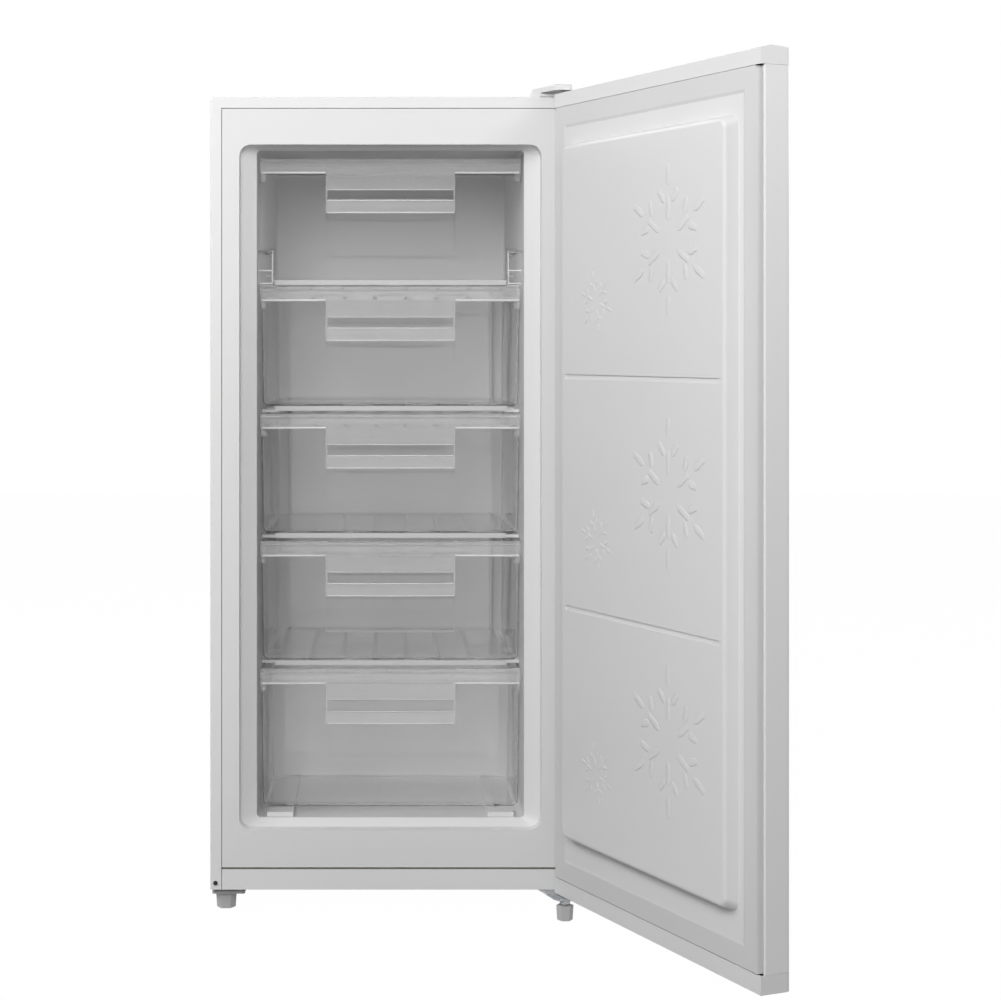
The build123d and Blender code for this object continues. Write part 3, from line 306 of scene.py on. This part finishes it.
def crystal_tree(finish):
    """Geometry nodes for one six-fold ice crystal: an arm with side strokes, turned round a centre."""
    tree = bpy.data.node_groups.new("ice_crystal", "GeometryNodeTree")
    face = tree.interface
    face.new_socket(name="Geometry", in_out="OUTPUT", socket_type="NodeSocketGeometry")
    for name, kind, value in (("Arms", "NodeSocketInt", 6), ("Reach", "NodeSocketFloat", 0.062),
                              ("Ridge width", "NodeSocketFloat", 0.006),
                              ("Ridge height", "NodeSocketFloat", 0.0022)):
        face.new_socket(name=name, in_out="INPUT", socket_type=kind).default_value = value
    given = tree.nodes.new("NodeGroupInput").outputs
    arm = tree.nodes.new("GeometryNodeJoinGeometry")
    for start, end in ARM_STROKES:
        line = add_node(tree, "GeometryNodeCurvePrimitiveLine", None, {"Start": start, "End": end})
        stroke = add_node(tree, "GeometryNodeResampleCurve", None,
                          {"Curve": line.outputs[0], "Count": STROKE_POINTS})
        tree.links.new(stroke.outputs[0], arm.inputs[0])
    along = add_node(tree, "GeometryNodeSplineParameter").outputs["Factor"]
    swell = add_node(tree, "ShaderNodeFloatCurve", None, {"Value": along})
    for place, height in STROKE_SWELL:
        swell.mapping.curves[0].points.new(place, height)
    swell.mapping.update()
    sized = add_node(tree, "ShaderNodeVectorMath", {"operation": "SCALE"}, {"Scale": given["Reach"]})
    tree.links.new(add_node(tree, "GeometryNodeInputPosition").outputs[0], sized.inputs[0])
    grown = add_node(tree, "GeometryNodeSetPosition", None,
                     {"Geometry": arm.outputs[0], "Position": sized.outputs[0]})
    radius = add_node(tree, "GeometryNodeSetCurveRadius", None,
                      {"Curve": grown.outputs[0], "Radius": swell.outputs[0]})
    half = add_node(tree, "ShaderNodeMath", {"operation": "MULTIPLY"}, {0: given["Ridge width"], 1: 0.5})
    ring = add_node(tree, "GeometryNodeCurvePrimitiveCircle", {"mode": "RADIUS"},
                    {"Resolution": RIDGE_SIDES, "Radius": half.outputs[0]})
    ridge = add_node(tree, "GeometryNodeCurveToMesh", None,
                     {"Curve": radius.outputs[0], "Profile Curve": ring.outputs[0], "Fill Caps": True})
    if "Scale" in ridge.inputs:
        tree.links.new(swell.outputs[0], ridge.inputs["Scale"])
    flat = add_node(tree, "ShaderNodeMath", {"operation": "DIVIDE"},
                    {0: given["Ridge height"], 1: half.outputs[0]})
    squash = add_node(tree, "ShaderNodeCombineXYZ", None, {"X": 1.0, "Y": 1.0, "Z": flat.outputs[0]})
    lowered = add_node(tree, "GeometryNodeTransform", None,
                       {"Geometry": ridge.outputs[0], "Scale": squash.outputs[0]})
    points = add_node(tree, "GeometryNodePoints", None, {"Count": given["Arms"]})
    turn = add_node(tree, "ShaderNodeMath", {"operation": "DIVIDE"}, {0: 2 * pi, 1: given["Arms"]})
    angle = add_node(tree, "ShaderNodeMath", {"operation": "MULTIPLY"},
                     {0: add_node(tree, "GeometryNodeInputIndex").outputs[0], 1: turn.outputs[0]})
    spin = add_node(tree, "ShaderNodeCombineXYZ", None, {"Z": angle.outputs[0]})
    arms = add_node(tree, "GeometryNodeInstanceOnPoints", None,
                    {"Points": points.outputs[0], "Instance": lowered.outputs[0],
                     "Rotation": spin.outputs[0]})
    whole = add_node(tree, "GeometryNodeRealizeInstances", None, {"Geometry": arms.outputs[0]})
    named = add_node(tree, "GeometryNodeSetMaterial", None,
                     {"Geometry": whole.outputs[0], "Material": finish})
    out = tree.nodes.new("NodeGroupOutput")
    tree.links.new(named.outputs[0], out.inputs[0])
    return tree


def crystal_mesh(name, tree, values):
    """Runs the crystal's tree once with the given sizes."""
    holder = link_object(name + "_source", bpy.data.meshes.new(name + "_source"))
    modifier = holder.modifiers.new("nodes", "NODES")
    modifier.node_group = tree
    for key, value in values.items():
        modifier[socket_of(modifier, key)] = value
    return plain_mesh(name, holder)


def door_relief():
    """Large and small ice crystals standing just proud of the three panels."""
    panel_middles = (1.008, 0.663, 0.327)
    proud = 0.0005
    width_share = 0.11
    tree = crystal_tree(FINISHES["liner_plastic"])
    for number, height in enumerate(panel_middles):
        for kind, across, up, reach, turn in (("large", -0.082, 0.0, 0.105, 0.52),
                                              ("small", 0.115, -0.080, 0.046, 0.3)):
            name = f"ice_relief_{kind}_{number + 1}"
            mesh = crystal_mesh(name, tree, {"Reach": reach, "Ridge width": width_share * reach,
                                             "Ridge height": proud})
            face = Matrix.Translation((across, PANEL_FACE, height + up))
            mesh.transform(door_place() @ face @ UPRIGHT @ Matrix.Rotation(turn, 4, "Z"))
            mesh.flip_normals()
            add_piece(name, mesh, "door", "liner_plastic")


# ------------------------------------------------------------------ seal
def seal_lip():
    """Thin inner lip of the seal, lying over its joint with the door liner."""
    half_width, bottom, top = 241.0, 89.5, 1195.9    # the joint's line on the shut door, in mm
    section = ((-0.8, -0.24), (0.2, -0.28), (4.0, -1.42), (4.3, -1.56), (-0.8, -0.5))   # inset, depth
    spots = []
    for inset, depth in section:
        half, low, high = half_width - inset, bottom + inset, top - inset
        spots += [(-half, depth, low), (half, depth, low), (half, depth, high), (-half, depth, high)]
    faces = []
    for ring in range(len(section)):
        for corner in range(4):
            here, there = 4 * ring, 4 * ((ring + 1) % len(section))
            after = (corner + 1) % 4
            faces.append((here + corner, there + corner, there + after, here + after))
    mesh = bpy.data.meshes.new("seal_lip")
    mesh.from_pydata([tuple(part * MM for part in spot) for spot in spots], [], faces)
    mesh.transform(door_place())
    solid = bmesh.new()
    solid.from_mesh(mesh)
    bmesh.ops.recalc_face_normals(solid, faces=solid.faces)
    solid.to_mesh(mesh)
    solid.free()
    add_piece("seal_lip", mesh, "door", "seal", smooth=False)


# ------------------------------------------------------------------ beads on the clear fronts, in mm: painted highlights
FRONT_TOP = 1155.5      # top of the flap's front, over the floor
FRONT_PITCH = 198.5     # from one clear front down to the next
RIM_FROM, RIM_TO, RIM_DROP, RIM_FACE = 101, 200, 21.8, 59.8
APRON_HALF, APRON_DROP, APRON_FACE = 98, 48, 65.0
LABEL_DROPS = ((65, "upper"), (84, "lower"))
LABEL_FACE, LABEL_BOW, LABEL_STEP = 55.7, 3, 14
BRACKET_FROM, BRACKET_TO, BRACKET_FACE = 183, 203, 50.3
BRACKET_BARS = ((961, "low"), (981, "high"))


def bead(name, points, radius, body):
    """Round bead along a run of points in the cabinet's own frame, in mm, riding on a body; opaque white, a
    painted highlight.
    """
    data = bpy.data.curves.new(name, "CURVE")
    data.dimensions = "3D"
    data.bevel_depth = radius * MM
    data.bevel_resolution = 3
    data.use_fill_caps = True
    run = data.splines.new("POLY")
    run.points.add(len(points) - 1)
    for point, (x, y, z) in zip(run.points, points):
        point.co = (MIDDLE + x * MM, y * MM, z * MM, 1)
    # opaque white moulding on a clear edge: a painted highlight, not a moulded part
    add_piece(name, plain_mesh(name, link_object(name + "_source", data)), body, "white_moulding")


def front_beads():
    """White beads along the edges of the moulded fronts: rim, apron and label holder, painted highlights on
    the clear plastic.
    """
    for level, body in enumerate(("flap", "drawer_1", "drawer_2", "drawer_3", "drawer_4")):
        top = FRONT_TOP - FRONT_PITCH * level
        for side, word in ((-1, "left"), (1, "right")):
            ends = sorted((side * RIM_FROM, side * RIM_TO))
            bead(f"{body}_rim_bead_{word}", [(x, RIM_FACE, top - RIM_DROP) for x in ends], 1.9, body)
        apron = [(x, APRON_FACE, top - APRON_DROP) for x in (-APRON_HALF, APRON_HALF)]
        bead(f"{body}_apron_highlight_bead", apron, 0.7, body)
        for drop, word in LABEL_DROPS:
            bow = [(x, LABEL_FACE + LABEL_BOW * (x / (APRON_HALF + 1)) ** 2, top - drop)
                   for x in range(-APRON_HALF, APRON_HALF + 1, LABEL_STEP)]
            bead(f"{body}_label_bead_{word}", bow, 0.9, body)


def bracket_beads():
    """White beads on the front edges of the two clear brackets that hold the flap's pins: painted
    highlights.
    """
    arch = ((BRACKET_FACE, 960), (BRACKET_FACE, 999), (52, 1005.5), (56, 1010), (64, 1012.3))
    for side, word in ((-1, "left"), (1, "right")):
        edge = [(side * BRACKET_FROM, y, z) for y, z in arch]
        bead(f"bracket_edge_bead_{word}", edge, 0.8, "cabinet")
        # bars of painted highlight across each bracket
        for height, place in BRACKET_BARS:
            bar = [(x, BRACKET_FACE, height) for x in sorted((side * BRACKET_FROM, side * BRACKET_TO))]
            bead(f"bracket_{place}_bead_{word}", bar, 1.2, "cabinet")


# ------------------------------------------------------------------ thermostat
def dial_numbers():
    """Raised figures 1 to 7 round the rim of the thermostat dial, read from behind the cabinet."""
    centre = Vector((MIDDLE - 0.230, 0.4951, 0.268))
    ring, step = 0.0155, 40
    facing_back = Matrix(((-1, 0, 0, 0), (0, 0, 1, 0), (0, 1, 0, 0), (0, 0, 0, 1)))
    for figure in range(1, 8):
        name = f"dial_figure_{figure}"
        angle = radians(240 - step * figure)
        data = bpy.data.curves.new(name, "FONT")
        data.body = str(figure)
        data.size = 0.006
        data.extrude = 0.0002
        data.align_x = "CENTER"
        data.align_y = "CENTER"
        mesh = plain_mesh(name, link_object(name + "_source", data))
        spot = centre + Vector((-ring * cos(angle), 0, ring * sin(angle)))
        mesh.transform(Matrix.Translation(spot) @ facing_back)
        add_piece(name, mesh, "dial", "bay_plastic", smooth=False)


# ------------------------------------------------------------------ surroundings
def background_rays(tree):
    """1 for rays that meet the background from the camera, or by way of metal or glass."""
    path = add_node(tree, "ShaderNodeLightPath").outputs
    bent = add_node(tree, "ShaderNodeMath", {"operation": "MAXIMUM"},
                    {0: path["Is Glossy Ray"], 1: path["Is Transmission Ray"]})
    return add_node(tree, "ShaderNodeMath", {"operation": "MAXIMUM"},
                    {0: path["Is Camera Ray"], 1: bent.outputs[0]}).outputs[0]


def make_floor():
    """Pale floor that keeps a soft shadow and reads as white to the camera."""
    reach = 9
    made, tree = new_material("studio_floor")
    matt = add_node(tree, "ShaderNodeBsdfDiffuse", None, {"Color": linear("909090")})
    glow = add_node(tree, "ShaderNodeEmission", None, {"Color": WHITE, "Strength": 1.03})
    share = add_node(tree, "ShaderNodeMath", {"operation": "MULTIPLY"}, {0: background_rays(tree), 1: 0.96})
    mixed = add_node(tree, "ShaderNodeMixShader", None,
                     {0: share.outputs[0], 1: matt.outputs[0], 2: glow.outputs[0]})
    add_node(tree, "ShaderNodeOutputMaterial", None, {"Surface": mixed.outputs[0]})
    mesh = bpy.data.meshes.new("floor")
    mesh.from_pydata([(-reach, -reach, 0), (reach, -reach, 0), (reach, reach, 0), (-reach, reach, 0)],
                     [], [(0, 1, 2, 3)])
    mesh.materials.append(made)
    link_object("floor", mesh)


def make_world():
    """White to the camera and in metal and glass, a calm grey to everything else."""
    world = bpy.data.worlds.new("studio")
    bpy.context.scene.world = world
    world.use_nodes = True
    tree = world.node_tree
    tree.nodes.clear()
    seen = add_node(tree, "ShaderNodeBackground", None, {"Color": WHITE, "Strength": 1.0})
    calm = add_node(tree, "ShaderNodeBackground", None, {"Color": WHITE, "Strength": 0.18})
    mixed = add_node(tree, "ShaderNodeMixShader", None,
                     {0: background_rays(tree), 1: calm.outputs[0], 2: seen.outputs[0]})
    add_node(tree, "ShaderNodeOutputWorld", None, {"Surface": mixed.outputs[0]})


make_camera()
make_world()
make_floor()
make_lamps()
dress_nodes()
door_relief()
seal_lip()
front_beads()
bracket_beads()
dial_numbers()
bpy.context.scene.view_settings.view_transform = "Standard"
